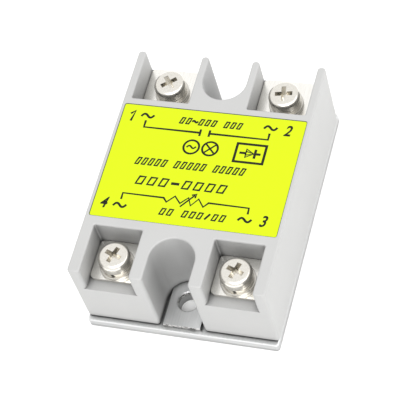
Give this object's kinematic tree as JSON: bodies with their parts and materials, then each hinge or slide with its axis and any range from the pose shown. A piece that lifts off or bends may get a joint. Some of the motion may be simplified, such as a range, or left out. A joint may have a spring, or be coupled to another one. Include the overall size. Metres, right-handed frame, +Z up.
{
  "type": "solid state relay",
  "caption": "Low block-shaped solid state relay on a metal base plate, with screw terminals in open pockets at both ends and a mounting notch between them.",
  "frame": {"origin": "centre of the base plate's underside", "axes": "+Z up out of the label face, +Y towards the load terminals 1 and 2, +X towards terminals 2 and 3"},
  "size_m": [0.045, 0.0624, 0.0225],
  "materials": {
    "case_plastic": "satin, injection moulded",
    "plate_aluminium": "pressed, sheared edges",
    "label_film": "printed polyester film",
    "plated_bar": "bright nickel plated",
    "nut_steel": "zinc plated",
    "plated_screw": "bright nickel plated",
    "plated_washer": "nickel plated",
    "pad_silicone": "matt",
    "copper_tab": "tinned copper",
    "device_epoxy": "moulded",
    "tinned_lead": "tinned copper",
    "inner_screw": "zinc plated",
    "potting_resin": "poured",
    "board_laminate": "glass-fibre laminate, solder mask",
    "film_box": "moulded box",
    "film_box_red": "moulded box",
    "varistor_lacquer": "dipped lacquer",
    "power_resistor_lacquer": "flameproof lacquer",
    "resistor_lacquer": "lacquer",
    "diac_glass": "glass sealed"
  },
  "bodies": {
    "relay_body": {"housing": "case_plastic", "base_plate": "plate_aluminium", "face_label": "label_film", "terminal_bar_1": "plated_bar", "terminal_nut_1": "nut_steel", "terminal_bar_2": "plated_bar", "terminal_nut_2": "nut_steel", "terminal_bar_3": "plated_bar", "terminal_nut_3": "nut_steel", "terminal_bar_4": "plated_bar", "terminal_nut_4": "nut_steel", "thermal_pad": "pad_silicone", "triac_tab": "copper_tab", "triac_case": "device_epoxy", "triac_leads": "tinned_lead", "snubber_capacitor_leads": "tinned_lead", "timing_capacitor_leads": "tinned_lead", "varistor_leads": "tinned_lead", "snubber_resistor_leads": "tinned_lead", "gate_resistor_leads": "tinned_lead", "limit_resistor_leads": "tinned_lead", "trigger_diac_leads": "tinned_lead", "triac_screw": "inner_screw", "potting_compound": "potting_resin", "circuit_board": "board_laminate", "snubber_capacitor": "film_box", "timing_capacitor": "film_box_red", "varistor": "varistor_lacquer", "snubber_resistor": "power_resistor_lacquer", "gate_resistor": "resistor_lacquer", "limit_resistor": "resistor_lacquer", "trigger_diac": "diac_glass"},
    "clamp_1": {"flat_washer_1": "plated_washer", "spring_washer_1": "plated_washer"},
    "screw_1": {"terminal_screw_1": "plated_screw"},
    "clamp_2": {"flat_washer_2": "plated_washer", "spring_washer_2": "plated_washer"},
    "screw_2": {"terminal_screw_2": "plated_screw"},
    "clamp_3": {"flat_washer_3": "plated_washer", "spring_washer_3": "plated_washer"},
    "screw_3": {"terminal_screw_3": "plated_screw"},
    "clamp_4": {"flat_washer_4": "plated_washer", "spring_washer_4": "plated_washer"},
    "screw_4": {"terminal_screw_4": "plated_screw"}
  },
  "joints": [
    {"name": "clamp_1_lift", "type": "slide", "parent": "relay_body", "child": "clamp_1", "axis": [0, 0, 1], "range_m": [0, 0.0035]},
    {"name": "screw_1_turn", "type": "hinge", "parent": "clamp_1", "child": "screw_1", "pos_m": [-0.01378, 0.0232, 0.0177], "axis": [0, 0, 1], "range_deg": [0, 1800]},
    {"name": "clamp_2_lift", "type": "slide", "parent": "relay_body", "child": "clamp_2", "axis": [0, 0, 1], "range_m": [0, 0.0035]},
    {"name": "screw_2_turn", "type": "hinge", "parent": "clamp_2", "child": "screw_2", "pos_m": [0.01378, 0.0232, 0.0177], "axis": [0, 0, 1], "range_deg": [0, 1800]},
    {"name": "clamp_3_lift", "type": "slide", "parent": "relay_body", "child": "clamp_3", "axis": [0, 0, 1], "range_m": [0, 0.0035]},
    {"name": "screw_3_turn", "type": "hinge", "parent": "clamp_3", "child": "screw_3", "pos_m": [0.01397, -0.0235, 0.0177], "axis": [0, 0, 1], "range_deg": [0, 1800]},
    {"name": "clamp_4_lift", "type": "slide", "parent": "relay_body", "child": "clamp_4", "axis": [0, 0, 1], "range_m": [0, 0.0035]},
    {"name": "screw_4_turn", "type": "hinge", "parent": "clamp_4", "child": "screw_4", "pos_m": [-0.01397, -0.0235, 0.0177], "axis": [0, 0, 1], "range_deg": [0, 1800]}
  ],
  "couplings": [
    {"joint": "screw_1_turn", "follows": "clamp_1_lift", "rad_per_m": 8976},
    {"joint": "screw_2_turn", "follows": "clamp_2_lift", "rad_per_m": 8976},
    {"joint": "screw_3_turn", "follows": "clamp_3_lift", "rad_per_m": 8976},
    {"joint": "screw_4_turn", "follows": "clamp_4_lift", "rad_per_m": 8976}
  ]
}
